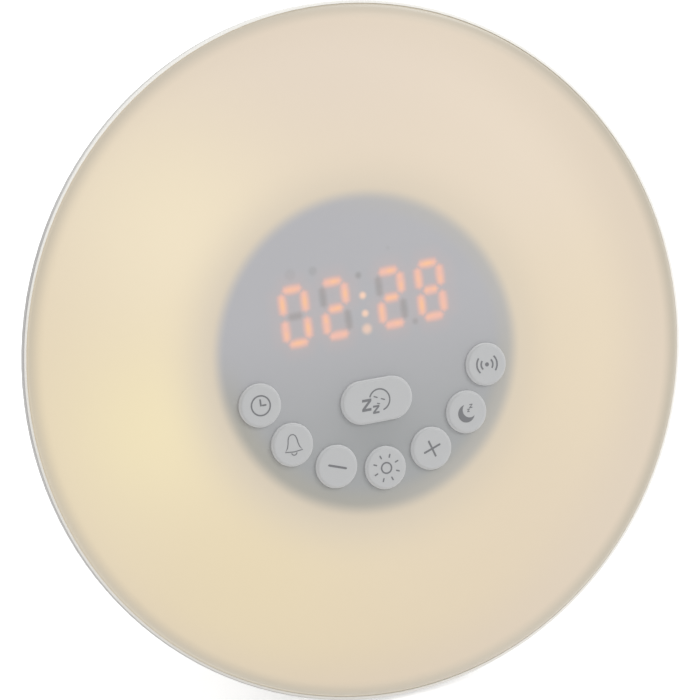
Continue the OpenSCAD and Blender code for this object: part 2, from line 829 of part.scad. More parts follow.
module power_socket() {
    mouth = -back_h + socket_in;
    color([0.75, 0.75, 0.76]) on_face() translate(power_at) {
        difference() {
            block(socket_w, socket_h, mouth, power_top - board_t);
            block(socket_w - 2 * socket_wall, socket_h - 2 * socket_wall, mouth - 1, mouth + socket_deep);
        }
        block(tongue_w, tongue_t, mouth + socket_wall, mouth + socket_deep + E);
    }
}

module power_board_screws() {
    color([0.75, 0.75, 0.76]) on_face() at_places(power_boss_places) {
        rod(boss_hole_r - 0.05, power_top - board_t - 4, power_top);
        rod(2, power_top, power_top + 1.4);
    }
}

module battery_door() {
    color([0.95, 0.95, 0.94]) on_face() difference() {
        union() {
            translate([-door_w / 2, door_axis_y, -back_h]) cube([door_w, door_h - door_t / 2, door_t]);
            translate([0, door_axis_y, door_axis_z]) rotate([0, 90, 0]) {
                cylinder(r = door_t / 2, h = door_w, center = true);
                cylinder(r = door_pin_r, h = door_w + 2 * door_pin_l, center = true);
            }
        }
        // Grip ribs, cut as three shallow grooves
        for (i = [2:4]) translate([-grip_w / 2, bay_y + door_h / 2 - grip_step * i, -back_h - 1])
            cube([grip_w, grip_cut, 1.5]);
    }
}

module backup_cells() {
    color([0.35, 0.5, 0.45]) on_face() for (i = [-1:1]) translate([0, bay_y + i * cell_pitch, cell_z])
        rotate([0, i == 0 ? 90 : -90, 0]) {
            at_z(-cell_l / 2) cylinder(r = cell_d / 2, h = cell_l - cell_tip_l);
            at_z(cell_l / 2 - cell_tip_l - E) cylinder(r = cell_tip_r, h = cell_tip_l + E);
        }
}

module contact_springs() {
    color([0.8, 0.8, 0.78]) on_face() for (i = [-1:1])
        translate([(i == 0 ? -1 : 1) * (cell_l / 2), bay_y + i * cell_pitch, cell_z])
            rotate([0, i == 0 ? -90 : 90, 0])
                cylinder(r1 = spring_tip_r, r2 = spring_base_r, h = contact_l - contact_t - 0.1);
}

module contact_plates() {
    color([0.8, 0.8, 0.78]) on_face() for (s = [-1, 1], i = [-1:1])
        translate([s * (bay_w - contact_t) / 2, bay_y + i * cell_pitch, cell_z]) rotate([0, 90, 0])
            block(cell_d - contact_in, cell_d - contact_in, -contact_t / 2, contact_t / 2);
}

module aerial_grommet() {
    color([0.85, 0.85, 0.84]) on_face() translate(grommet_at) difference() {
        union() {
            rod(grommet_r, -back_h - 0.6, back_in + 0.8);
            rod(grommet_r + 1.2, -back_h - 1.2, -back_h);
        }
        rod(0.7, -back_h - 2, back_in + 2);
    }
}

front_diffuser();
light_dam();
reflector();
led_board();
led_board_chips();
warm_leds();
colour_leds();
display_body();
display_bars_lit();
display_bars_unlit();
display_pins();
key_board();
key_board_chips();
key_board_screws();
switch_bodies();
round_button(0);  // time_button
round_button(1);  // alarm_button
round_button(2);  // minus_button
round_button(3);  // light_button
round_button(4);  // plus_button
round_button(5);  // sleep_button
round_button(6);  // radio_button
snooze_button();
plunger(0);  // time_plunger
plunger(1);  // alarm_plunger
plunger(2);  // minus_plunger
plunger(3);  // light_plunger
plunger(4);  // plus_plunger
plunger(5);  // sleep_plunger
plunger(6);  // radio_plunger
plunger(7);  // snooze_plunger
ribbon_leads();
rear_housing();
rubber_feet();
case_screws();
speaker_frame();
speaker_magnet();
speaker_cone();
speaker_screws();
power_board();
power_board_chips();
power_socket();
power_board_screws();
battery_door();
backup_cells();
contact_springs();
contact_plates();
aerial_grommet();
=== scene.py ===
"""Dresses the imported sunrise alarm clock: cover, display, buttons, icons and rear housing."""

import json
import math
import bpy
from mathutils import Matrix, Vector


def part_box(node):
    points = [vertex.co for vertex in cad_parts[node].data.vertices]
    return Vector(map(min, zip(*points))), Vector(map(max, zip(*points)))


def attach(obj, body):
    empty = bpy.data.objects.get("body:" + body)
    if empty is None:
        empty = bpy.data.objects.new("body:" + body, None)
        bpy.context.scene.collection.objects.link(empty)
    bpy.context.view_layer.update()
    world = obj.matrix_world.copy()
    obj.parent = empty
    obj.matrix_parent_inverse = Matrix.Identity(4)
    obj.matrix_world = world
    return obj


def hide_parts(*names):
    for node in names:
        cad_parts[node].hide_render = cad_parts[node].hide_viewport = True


bl_info = {
    "name": "Sunrise Alarm Clock Dresser",
    "version": (1, 0, 0),
    "blender": (4, 5, 0),
    "location": "3D View > Sidebar > Clock",
    "description": "Builds the visible finish of a round sunrise alarm clock over its packed frame",
    "category": "Object",
}

import bmesh
import bpy
from bpy.props import FloatProperty, FloatVectorProperty, PointerProperty
from mathutils import Matrix, Vector

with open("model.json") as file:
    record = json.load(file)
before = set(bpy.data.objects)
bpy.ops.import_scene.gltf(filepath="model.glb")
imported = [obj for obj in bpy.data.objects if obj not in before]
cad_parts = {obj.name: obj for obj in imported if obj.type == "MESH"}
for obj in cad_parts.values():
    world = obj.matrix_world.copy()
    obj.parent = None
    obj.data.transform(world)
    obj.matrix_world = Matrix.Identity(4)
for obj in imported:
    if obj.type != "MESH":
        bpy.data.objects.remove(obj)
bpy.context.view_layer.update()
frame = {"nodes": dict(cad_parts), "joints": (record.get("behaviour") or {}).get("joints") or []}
MM = 0.001

# The face leans back by this angle: the buttons travel straight into it
INWARD = next(Vector(j["axis"]) for j in frame["joints"] if j["name"] == "snooze_press")
LEAN = math.asin(-INWARD.z)
# The housing is widest at its rim
RIM_R = Vector(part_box("rear_housing")[1]).x / MM
# The ring board is centred on the face, this far behind it
RING_BOARD_DEPTH = 18.2
RING_BOARD_AT = (Vector(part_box("led_board")[0]) + Vector(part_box("led_board")[1])) / 2
FACE_AT = RING_BOARD_AT - INWARD * RING_BOARD_DEPTH * MM

# All places and sizes below are in millimetres on the face, unless they say otherwise: x to the
# right, y up, z towards the viewer

# Keys: radius and middle of the arc of the round ones with the angle between them, and the long one
BUTTON_ARC_R = 30.4
BUTTON_ARC_Y = 3.27
BUTTON_PITCH = math.radians(23.2)
SNOOZE_AT = (0, -11.05)
ROUND_KEYS = ("time", "alarm", "minus", "light", "plus", "sleep", "radio")
KEYS = (*ROUND_KEYS, "snooze")
# Height of the caps, and of the flat middle of the cover
CAP_TOP = 4.3
CENTRE_TOP = 3.2
# Holes in the cover: radius of the round ones, radius and half the run of the long one, and
# the heights between which they are cut
HOLE_R = 5.135
LONG_HOLE_R = 5.185
LONG_HOLE_RUN = 3.75
CUT_LOW = 0.2
CUT_HIGH = 5.0
# Steps round a hole, and round the cover
HOLE_STEPS = 64
COVER_TURNS = 256

# Digits: middles across, and height of the row
DIGIT_XS = (-16.94, -6.91, 7.13, 17.18)
DIGIT_Y = 11.92
# Bars in the order top, top right, bottom right, bottom, bottom left, top left, middle
DIGIT_BARS = (
    (1, 1, 1, 1, 1, 1, 0),
    (1, 1, 0, 1, 1, 0, 1),
    (1, 1, 0, 1, 1, 0, 1),
    (1, 1, 1, 1, 1, 1, 1),
)
# Middle of each bar, in halves of the digit
BAR_PLACES = ((0, 1), (1, 0.5), (1, -0.5), (0, -1), (-1, -0.5), (-1, 0.5), (0, 0))
# The display module sits a little askew behind the cover: rise along the row
DIGIT_RISE = 0.0243
# How far short of the corners the bars end: outer level ones, middle one, upright ones
LEVEL_SHORT = 0.5
MIDDLE_SHORT = 1.0
UPRIGHT_SHORT = 0.78
# Slant of a bar's ends, the share of its width that it loses towards them, and its soft edge
BAR_SLANT = 0.6
BAR_SLIM = 0.4
BAR_BLUR = 0.75
# Where the bright middle of a bar fades, aside and along it
MIDDLE_ASIDE = (1.0, 0.1)
MIDDLE_ALONG = (2.3, 0.3)
# Where the halo of a bar fades, and its wide faint part with the strength of that
HALO_SPAN = (-0.2, 1.5)
WIDE_HALO_SPAN = (0.0, 4.5)
WIDE_HALO_SHARE = 0.26
# How strongly the unlit bars and the halo show
UNLIT_SHARE = 0.62
HALO_SHARE = 0.5
# Colon and lower dot: place, size, softness and strength
LIT_DOTS = (
    ((0.1, 13.7), 0.76, 0.55, 1.0),
    ((0.15, 9.45), 0.76, 0.55, 0.95),
    ((0.1, 5.8), 1.1, 0.75, 0.75),
)
# Unlit dots and marks round the digits: place, size, softness and strength
UNLIT_DOTS = (
    ((12.3, 5.65), 0.7, 0.55, 0.75),
    ((-0.35, 18.5), 0.7, 0.55, 1.0),
    ((-11.3, 21.2), 1.0, 0.55, 0.5),
    ((-16.9, 21.2), 1.3, 0.55, 0.3),
    ((7.8, 23.7), 0.35, 0.55, 0.35),
)

# Soft patches on the ring: setting that holds the colour, place, spread and strength
RING_PATCHES = (
    ("cool_side", (45, 42), 25, 0.8),
    ("warm_side", (-38, -42), 20, 0.8),
    ("dull_side", (46, -50), 20, 0.6),
    ("lamp", (-46, 38), 20, 0.85),
    ("lamp_warm", (-56, -8), 15, 0.8),
)
# Ring: where it turns cool and warm along y, and along x where its rim gets darker painted shade
# and where its outer edge gets a painted highlight
COOL_Y, WARM_Y = (10, 70), (-30, -80)
RIM_SHADE_X, EDGE_LIGHT_X = (10, 70), (20, -50)
# Ring: middles of the circles on which its colour changes, and the radii of each change: painted
# shade beside the panel, towards the right edge and at the rim, and a painted highlight on the
# outer edge
INNER_SHADE_AT, INNER_SHADE_SPAN, INNER_SHADE_FALL = (-2.0, -0.6), (34, 55), 1.9
SIDE_SHADE_AT, SIDE_SHADE_SPAN = (-10, 2), (66, 86)
RIM_SHADE_AT, RIM_SHADE_SPAN = (-1.5, 0.45), (76.9, 81.2)
EDGE_LIGHT_SPAN = (80.6, 81.0)
# Panel: its middle, where painted shade darkens it along y, its edge at the foot dulled by painted
# shade, its lighter edge on the right with the strength of that, and the shade below the long key:
# place, spread and strength
PANEL_AT = (0.0, 0.2)
PANEL_SHADE_Y = (-27, 14)
LOW_EDGE_SHADE_SPAN, LOW_EDGE_SHADE_Y = (30, 36), (8, -14)
RIGHT_EDGE_SPAN, RIGHT_EDGE_X, RIGHT_EDGE_SHARE = (31, 35.5), (-12, 22), 0.65
KEY_SHADE = ((-1, -18), 6.5, 0.75)
# Where the lit field behind the cover begins: its middle, and half the width of its soft edge
LIT_FIELD_AT = (-0.35, 0.28)
LIT_FIELD_BLUR = 1.9
# Rear housing: where the front of its rim lies, with a painted highlight, and the outside of it,
# with painted shade on the left, and where they are toned
RIM_HIGHLIGHT_R, RIM_HIGHLIGHT_Z, RIM_HIGHLIGHT_Y = (80.9, 81.1), (0.3, 0.6), (-80, -35)
RIM_SIDE_SHADE_R, RIM_SIDE_SHADE_Z = (81.6, 81.9), (-1.3, -0.9)
RIM_SIDE_SHADE_X, RIM_SIDE_SHADE_Y = (10, -45), (70, 25)
# Heights between which the side of a cap, painted lighter as painted light over its shade, passes
# into its printed top
CAP_SIDE_LIGHT_Z = (CAP_TOP - 0.1, CAP_TOP - 0.5)
# Patches per metre: in the tone of a moulding, and in the brightness of the display's chips
TONE_SCALE = 28.0
CHIP_SCALE = 260.0
CHIP_SPAN = (0.32, 0.6)
COVER_ROUGHNESS = 0.42
# Strength of the drift of tone in the cover, and share of its colour that a cap gives out as a
# painted glow
COVER_DRIFT = 0.02
CAP_GLOW = 0.1
# The print starts this far inside the cap
PRINT_INSET = 0.01

# Cells: length of one with its bare ends, step from one to the next, and middle of the three
CELL_L = 44.5
CELL_END = 1.0
CELL_STEP = 10.9
BAY_Y = -21
CELL_Z = -43.05
# Length of the spring between a cell and the wall of its bay
SPRING_L = 2.7

# Where the camera aims, from the middle of the face along the axes of the clock
AIM_SHIFT = (-3.158, 1.499, 0.666)
SENSOR_W = 36
# Side from which the even light is strongest, its strength there and on the far side, as shares
# of its mean, and the cosines between which it changes
BRIGHT_SIDE = (0.62, -0.3, 0.72)
STRONGEST = 1.3
WEAKEST = 0.7
LIGHT_SPAN = (-0.9, 1.0)
# Soft lamps: place and size in metres
LAMPS = (("key_lamp", (0.7, -0.6, 0.8), 0.5), ("back_lamp", (0.7, 0.9, 0.75), 0.6))
# Floor: half its width and how far it lies below the feet, in metres, and how much it glows
FLOOR_SIZE = 6
FLOOR_DROP = 0.0002
FLOOR_GLOW = 0.5


def srgb(red, green, blue):
    """Linear colour of an 8-bit one."""
    linear = []
    for level in (red, green, blue):
        share = level / 255
        linear.append(share / 12.92 if level <= 10 else ((share + 0.055) / 1.055) ** 2.4)
    return tuple(linear)


def colour_prop(name, place, rgb):
    """A colour, from its 8-bit values."""
    return FloatVectorProperty(
        name=name, description="Colour of the " + place, subtype="COLOR", size=3, min=0, max=1,
        default=srgb(*rgb),
    )


def length_prop(name, description, value, low, high):
    """A length in millimetres."""
    return FloatProperty(
        name=name, description=description + " in millimetres", default=value, min=low, max=high
    )


def angle_prop(name, description, degrees):
    """An angle, from its degrees."""
    return FloatProperty(
        name=name, description=description, default=math.radians(degrees),
        subtype="ANGLE", unit="ROTATION",
    )


class CLOCK_PG_cover(bpy.types.PropertyGroup):
    """Front cover with the light behind it."""

    glow_share: FloatProperty(
        name="Glow share", description="Share of the cover's colour that it gives out itself",
        default=0.5, min=0, max=1, subtype="FACTOR",
    )
    ring: colour_prop("Ring", "middle of the ring", (234, 218, 190))
    # Painted shade beside the panel, where the light dam shades the lit field behind the cover
    ring_inner_shade: colour_prop("Ring inner edge", "ring beside the panel", (217, 205, 186))
    # Painted shade towards the outer edge of the ring, strongest on the right
    ring_side_shade: colour_prop("Ring side", "ring near its right edge", (223, 208, 188))
    # Painted shade where the ring turns over at the rim
    ring_rim_shade: colour_prop("Ring rim", "ring where it turns over at the rim", (202, 194, 178))
    # Darker painted shade on the rim on the right
    rim_shade: colour_prop("Rim shade", "rim on the right", (190, 181, 164))
    # Painted highlight on the outer edge of the cover on the left
    rim_edge_light: colour_prop("Rim edge", "outer edge on the left", (217, 209, 193))
    lamp: colour_prop("Lamp glow", "ring over the brighter lamps", (244, 230, 200))
    lamp_warm: colour_prop("Warm lamp glow", "ring over the warmest lamps", (245, 231, 190))
    cool: colour_prop("Cool side", "ring at its top", (230, 215, 197))
    cool_side: colour_prop("Cool spot", "ring at its upper right", (235, 220, 200))
    warm: colour_prop("Warm side", "ring at its foot", (228, 212, 184))
    warm_side: colour_prop("Warm spot", "ring at its lower left", (234, 218, 183))
    dull_side: colour_prop("Dull spot", "ring at its lower right", (226, 210, 187))
    panel_top: colour_prop("Panel top", "top of the middle panel", (185, 185, 189))
    # Painted shade at the foot of the panel, round the keys
    panel_low_shade: colour_prop("Panel foot", "foot of the middle panel", (169, 171, 172))
    panel_shade: colour_prop("Panel shade", "panel below the long key", (158, 160, 161))
    # Painted shade along the lower edge of the panel
    panel_edge_shade: colour_prop("Panel edge", "lower edge of the middle panel", (175, 173, 165))
    panel_glow: colour_prop("Panel glow", "right edge of the middle panel", (191, 188, 182))
    panel_r: length_prop("Panel radius", "Radius of the middle panel", 36.9, 30, 45)


class CLOCK_PG_display(bpy.types.PropertyGroup):
    """Digits that show through the cover."""

    lit: colour_prop("Lit bar", "lit bars", (243, 192, 176))
    halo: colour_prop("Halo", "soft edge round a lit bar", (226, 184, 176))
    hot: colour_prop("Hot bar", "middle of a bar, over its chip", (251, 197, 157))
    dot: colour_prop("Dot", "colon and lower dot", (248, 211, 188))
    unlit: colour_prop("Unlit bar", "unlit bars", (152, 151, 151))
    digit_h: length_prop("Digit height", "Height of a digit", 14.2, 8, 20)
    digit_w: length_prop("Digit width", "Width of a digit", 7.2, 4, 12)
    bar_w: length_prop("Bar width", "Width of a bar", 1.7, 0.5, 3)


class CLOCK_PG_plastic(bpy.types.PropertyGroup):
    """Caps, icons and housing."""

    cap: colour_prop("Button", "top of the buttons", (184, 185, 186))
    # Painted light on the side of the buttons, lifting the shade there
    cap_side_light: colour_prop("Button side", "side of the buttons", (214, 215, 216))
    icon: colour_prop("Icon", "printed icons", (122, 123, 126))
    icon_t: FloatProperty(
        name="Icon thickness", description="Thickness of the print",
        default=0.00005, min=0.00001, max=0.0002, unit="LENGTH", precision=6,
    )
    housing: colour_prop("Housing", "rear housing", (242, 240, 236))
    # Painted highlight on the front of the housing's rim
    rim: colour_prop("Rim", "front of the housing's rim", (255, 254, 250))
    # Painted shade on the outside of the rim on the left
    rim_side_shade: colour_prop("Rim side", "outside of the rim on the left", (196, 194, 192))


class CLOCK_PG_stage(bpy.types.PropertyGroup):
    """Camera, floor and light."""

    azimuth: angle_prop("Azimuth", "Side from which the camera looks", -21.17)
    elevation: angle_prop("Elevation", "Height of the camera over the horizon", 21.12)
    roll: angle_prop("Roll", "Turn of the camera about its own line", -2.13)
    distance: FloatProperty(
        name="Distance", description="From the camera to where it aims", default=0.6307,
        unit="LENGTH",
    )
    lens: length_prop("Lens", "Focal length", 138.6, 20, 400)
    world: FloatProperty(
        name="World light", description="Strength of the even light", default=0.62, min=0
    )
    key: FloatProperty(
        name="Lamp light", description="Power of each soft lamp in watts", default=3.2, min=0
    )
    floor: colour_prop("Floor", "floor", (250, 250, 250))


# ---------- frame of the face ----------


def face_matrix():
    """From millimetres on the face to metres in the frame of the clock."""
    up = Vector((0, math.sin(LEAN), math.cos(LEAN)))
    basis = Matrix((Vector((1, 0, 0)), up, -INWARD)).transposed().to_4x4()
    return Matrix.Translation(FACE_AT) @ basis @ Matrix.Scale(MM, 4)


FACE = face_matrix()


def key_place(name):
    """Middle of a key on the face."""
    if name == "snooze":
        return SNOOZE_AT
    turn = (ROUND_KEYS.index(name) - 3) * BUTTON_PITCH
    return (BUTTON_ARC_R * math.sin(turn), BUTTON_ARC_Y - BUTTON_ARC_R * math.cos(turn))


# ---------- node helpers ----------


class Web:
    """A node tree with short ways to add nodes and join them."""

    def __init__(self, tree):
        self.tree = tree

    def add(self, kind, settings=(), **inputs):
        """A node with its settings and inputs, whose names have _ for a space."""
        made = self.tree.nodes.new(kind)
        for name, value in dict(settings).items():
            setattr(made, name, value)
        for name, value in inputs.items():
            self.put(made.inputs[name.replace("_", " ")], value)
        return made

    def put(self, socket, value):
        """A link or a value into a socket."""
        if isinstance(value, bpy.types.NodeSocket):
            self.tree.links.new(value, socket)
        elif isinstance(value, tuple) and len(value) < len(socket.default_value):
            socket.default_value = (*value, 1)
        else:
            socket.default_value = value

    def math(self, operation, *values, clamp=False):
        made = self.tree.nodes.new("ShaderNodeMath")
        made.operation = operation
        made.use_clamp = clamp
        for socket, value in zip(made.inputs, values):
            self.put(socket, value)
        return made.outputs[0]

    def less(self, first, second):
        return self.math("SUBTRACT", first, second)

    def times(self, first, *others):
        for other in others:
            first = self.math("MULTIPLY", first, other)
        return first

    def largest(self, first, *others):
        for other in others:
            first = self.math("MAXIMUM", first, other)
        return first

    def rest(self, share):
        """What a share leaves of 1."""
        return self.less(1.0, share)

    def mix(self, share, first, second):
        made = self.add("ShaderNodeMix", {"data_type": "RGBA"})
        self.put(made.inputs[0], share)
        self.put(made.inputs[6], first)
        self.put(made.inputs[7], second)
        return made.outputs[2]

    def smooth(self, value, low, high, start=0, end=1):
        """From start below low to end above high, and smooth between them."""
        made = self.add("ShaderNodeMapRange", {"interpolation_type": "SMOOTHSTEP"})
        for socket, number in zip(made.inputs, (value, low, high, start, end)):
            self.put(socket, number)
        return made.outputs[0]

    def bump(self, height, distance, strength):
        made = self.add("ShaderNodeBump", Height=height, Distance=distance, Strength=strength)
        return made.outputs["Normal"]

    def noise(self, place, scale, detail):
        made = self.add("ShaderNodeTexNoise", Vector=place, Scale=scale, Detail=detail)
        return made.outputs[0]

    def place(self):
        """Place in metres along the axes of the object."""
        return self.add("ShaderNodeTexCoord").outputs["Object"]

    def split(self, vector):
        return self.add("ShaderNodeSeparateXYZ", Vector=vector).outputs

    def dot(self, vector, fixed):
        made = self.add("ShaderNodeVectorMath", {"operation": "DOT_PRODUCT"})
        self.put(made.inputs[0], vector)
        made.inputs[1].default_value = fixed
        return made.outputs["Value"]


def group(name, inputs, outputs):
    """An empty node group of numbers, with its web and its input and output nodes."""
    tree = bpy.data.node_groups.new(name, "ShaderNodeTree")
    for label, value in inputs:
        socket = tree.interface.new_socket(label, in_out="INPUT", socket_type="NodeSocketFloat")
        socket.default_value = value
    for label in outputs:
        tree.interface.new_socket(label, in_out="OUTPUT", socket_type="NodeSocketFloat")
    given, out = tree.nodes.new("NodeGroupInput"), tree.nodes.new("NodeGroupOutput")
    return Web(tree), given.outputs, out.inputs


def use_group(web, name, **inputs):
    made = web.tree.nodes.new("ShaderNodeGroup")
    made.node_tree = bpy.data.node_groups[name]
    for label, value in inputs.items():
        web.put(made.inputs[label.replace("_", " ")], value)
    return made.outputs


def build_moulded_grain():
    """Fine moulded texture: Height for a bump, Tone for a change of colour, Haze for roughness."""
    web, given, out = group(
        "moulded_grain",
        [("Grains per metre", 2600.0), ("Haze", 0.12)],
        ["Height", "Tone", "Haze"],
    )
    place = web.place()
    broad = web.noise(place, TONE_SCALE, 3.0)
    web.put(out["Height"], web.noise(place, given["Grains per metre"], 2.0))
    web.put(out["Tone"], broad)
    web.put(out["Haze"], web.times(web.less(broad, 0.5), given["Haze"]))


def build_digit():
    """Seven bars of one digit, in millimetres on the face.

    Its masks are the lit bars, their bright middles, their halo and the unlit bars.
    """
    web, given, out = group(
        "display_digit",
        [("X", 0.0), ("Y", 0.0), ("Height", 14.2), ("Width", 7.2), ("Bar width", 1.7),
         ("Blur", BAR_BLUR)] + [("Bar %d" % k, 0.0) for k in range(len(BAR_PLACES))],
        ["Lit", "Middle", "Halo", "Unlit"],
    )
    half_w = web.times(web.less(given["Width"], given["Bar width"]), 0.5)
    half_h = web.times(web.less(given["Height"], given["Bar width"]), 0.5)
    quarter = web.times(half_h, 0.5)
    side = web.times(given["Bar width"], 0.5)
    blur_in = web.times(given["Blur"], -1.0)
    masks = {label: [] for label in ("Lit", "Middle", "Halo", "Unlit")}
    for k, (across, upward) in enumerate(BAR_PLACES):
        dx = web.math("ABSOLUTE", web.less(given["X"], web.times(half_w, across)))
        dy = web.math("ABSOLUTE", web.less(given["Y"], web.times(half_h, upward)))
        along, aside, reach = (dy, dx, quarter) if across else (dx, dy, half_w)
        short = UPRIGHT_SHORT if across else LEVEL_SHORT if upward else MIDDLE_SHORT
        past = web.math("ADD", along, web.times(aside, BAR_SLANT))
        past = web.less(past, web.less(reach, short))
        # The bars are a little slimmer towards their ends
        far = web.math("DIVIDE", along, reach)
        slim = web.rest(web.times(far, far, BAR_SLIM))
        gap = web.largest(web.less(aside, web.times(side, slim)), past)
        inside = web.rest(web.smooth(gap, blur_in, given["Blur"]))
        near = web.rest(web.smooth(gap, *HALO_SPAN))
        wide = web.times(web.rest(web.smooth(gap, *WIDE_HALO_SPAN)), WIDE_HALO_SHARE)
        core = web.times(web.smooth(aside, *MIDDLE_ASIDE), web.smooth(along, *MIDDLE_ALONG))
        on = given["Bar %d" % k]
        masks["Lit"].append(web.times(inside, on))
        masks["Middle"].append(web.times(core, on))
        masks["Halo"].append(web.times(web.largest(near, wide), on))
        masks["Unlit"].append(web.times(inside, web.rest(on)))
    for label, parts in masks.items():
        web.put(out[label], web.largest(*parts))


def material(name, colour, roughness, metallic=0.0, coat=0.0):
    """A material with its Principled node, and a web to work on it."""
    mat = bpy.data.materials.new(name)
    mat.use_nodes = True
    web = Web(mat.node_tree)
    shader = mat.node_tree.nodes["Principled BSDF"]
    web.put(shader.inputs["Base Color"], colour)
    shader.inputs["Roughness"].default_value = roughness
    shader.inputs["Metallic"].default_value = metallic
    shader.inputs["Coat Weight"].default_value = coat
    return mat, web, shader


def moulded(
    name, colour, roughness=0.45, grains=2600.0, depth=0.00002, change=0.03, metallic=0.0, coat=0.0
):
    """Moulded plastic: fine grain in the surface, a faint drift of tone and of shine."""
    mat, web, shader = material(name, colour, roughness, metallic, coat)
    grain = use_group(web, "moulded_grain", Grains_per_metre=grains)
    dark = tuple(c * (1 - change) for c in colour)
    light = tuple(min(1, c * (1 + change)) for c in colour)
    web.put(shader.inputs["Base Color"], web.mix(grain["Tone"], dark, light))
    web.put(shader.inputs["Roughness"], web.math("ADD", grain["Haze"], roughness, clamp=True))
    web.put(shader.inputs["Normal"], web.bump(grain["Height"], depth, strength=0.5))
    return mat


def reopen(mat):
    """Web, shader and colour of a finished material, to work on it further."""
    shader = mat.node_tree.nodes["Principled BSDF"]
    return Web(mat.node_tree), shader, shader.inputs["Base Color"].links[0].from_socket


# ---------- mesh helpers ----------


def mesh_of(bm, name):
    """The gathered faces as a mesh."""
    mesh = bpy.data.meshes.new(name)
    bm.to_mesh(mesh)
    bm.free()
    return mesh


def skin(bm, rings):
    """Faces from ring to ring, and one over the first ring and over the last."""
    count = len(rings[0])
    for a, b in zip(rings, rings[1:]):
        for k in range(count):
            j = (k + 1) % count
            bm.faces.new((a[k], b[k], b[j], a[j]))
    bm.faces.new(rings[0])
    bm.faces.new(rings[-1])
    bmesh.ops.recalc_face_normals(bm, faces=bm.faces)


def piece(name, mesh, body, mat, smooth=True):
    """A new object in the frame of the face, which rides on a body."""
    ob = bpy.data.objects.new(name, mesh)
    bpy.context.scene.collection.objects.link(ob)
    mesh.transform(Matrix.Scale(MM, 4))
    ob.matrix_world = FACE @ Matrix.Scale(1 / MM, 4)
    mesh.materials.append(mat)
    if smooth:
        mesh.shade_smooth()
    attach(ob, body)
    return ob


def give(nodes, mat):
    """The material on CAD nodes."""
    for name in nodes:
        ob = frame["nodes"][name]
        ob.data.materials.clear()
        ob.data.materials.append(mat)


def give_all(finishes):
    """Moulded materials on CAD nodes, from rows of name, colour, settings and nodes."""
    for name, rgb, settings, nodes in finishes:
        give(nodes, moulded(name, srgb(*rgb), **settings))


def heading(angle):
    """A step of length 1 towards an angle."""
    return Vector((math.cos(angle), math.sin(angle)))


class Print:
    """Flat shapes of one print, gathered as outlines and raised into a thin mesh.

    Places are in millimetres from the middle of the print, and strokes have even widths.
    """

    def __init__(self):
        self.bm = bmesh.new()

    def outline(self, points):
        """A filled shape."""
        verts = [self.bm.verts.new((x, y, 0)) for x, y in points]
        self.bm.faces.new(verts)

    def bar(self, start, end, width, round_ends=True):
        """A straight stroke."""
        a, b = Vector(start), Vector(end)
        run = (b - a).normalized()
        base = math.atan2(run.y, run.x)
        steps = 6
        corners = range(steps + 1) if round_ends else (0, steps)
        points = []
        for centre, turn in ((b, -math.pi / 2), (a, math.pi / 2)):
            for k in corners:
                angle = base + turn + math.pi * k / steps
                points.append(centre + width / 2 * heading(angle))
        self.outline(points)

    def band(self, points, width, closed=False):
        """A stroke along points."""
        line = [Vector(point) for point in points]
        n = len(line)
        sides = []
        for i, at in enumerate(line):
            before = line[i - 1] if i or closed else at
            after = line[(i + 1) % n] if i < n - 1 or closed else at
            run = (after - before).normalized()
            sides.append(Vector((-run.y, run.x)) * width / 2)
        left = [self.bm.verts.new((*(at + side), 0)) for at, side in zip(line, sides)]
        right = [self.bm.verts.new((*(at - side), 0)) for at, side in zip(line, sides)]
        for i in range(n if closed else n - 1):
            j = (i + 1) % n
            self.bm.faces.new((right[i], right[j], left[j], left[i]))

    def arc(self, centre, radius, start, end, width, steps=40):
        """A stroke along an arc, or along a whole circle, with its angles in degrees."""
        full = abs(end - start) >= 360
        count = steps if full else steps + 1
        angles = [math.radians(start + (end - start) * k / steps) for k in range(count)]
        self.band([Vector(centre) + radius * heading(a) for a in angles], width, closed=full)

    def mesh(self, name, at, z, thickness):
        """The print at its place on the face."""
        faces = list(self.bm.faces)
        raised = bmesh.ops.extrude_face_region(self.bm, geom=faces)
        tops = [g for g in raised["geom"] if isinstance(g, bmesh.types.BMVert)]
        bmesh.ops.translate(self.bm, verts=tops, vec=(0, 0, thickness))
        bmesh.ops.translate(self.bm, verts=self.bm.verts, vec=(at[0], at[1], z))
        bmesh.ops.recalc_face_normals(self.bm, faces=self.bm.faces)
        return mesh_of(self.bm, name)


def icon_time(p):
    """Clock face with two hands."""
    p.arc((0, 0), 2.28, 0, 360, 0.35)
    p.bar((0, 0), (0, 1.35), 0.4)
    p.bar((0.42, 0), (1.2, 0), 0.4)


def icon_alarm(p):
    """Bell with its clapper."""
    half = [(0.32, 2.42), (0.8, 2.05), (1.08, 1.35), (1.22, 0.4), (1.5, -0.55), (2.15, -1.4)]
    dome = [(-x, y) for x, y in reversed(half)] + half
    p.band(dome + [(0, -1.62)], 0.24, closed=True)
    p.arc((0, -1.72), 0.66, 190, 350, 0.24, 10)


def icon_minus(p):
    """Single stroke, a little tilted."""
    end = 2.1 * heading(math.radians(-19))
    p.bar(-end, end, 0.52)


def icon_plus(p):
    """Cross of one whole stroke and two short ones that start at its edges."""
    end = 2.1 * heading(math.radians(19))
    cross_end = Vector((-end.y, end.x))
    p.bar(-end, end, 0.46)
    for way in (-cross_end, cross_end):
        p.bar(way * 0.12, way, 0.46, round_ends=False)


def icon_light(p):
    """Sun with eight rays."""
    p.arc((0, 0), 1.25, 0, 360, 0.36, 28)
    for k in range(8):
        way = heading(math.tau * (k + 0.5) / 8)
        p.bar(way * 2.6, way * 3.25, 0.34)


def zigzag(p, at, width, height, stroke, slant):
    """The sleeper's zig-zag mark, as one outline."""
    x, y = width / 2, height / 2
    run = stroke * 1.35
    points = [
        (-x, y), (x, y), (x, y - stroke), (-x + run, -y + stroke), (x, -y + stroke), (x, -y),
        (-x, -y), (-x, -y + stroke), (x - run, y - stroke), (-x, y - stroke),
    ]
    p.outline([(at[0] + px + slant * py, at[1] + py) for px, py in points])


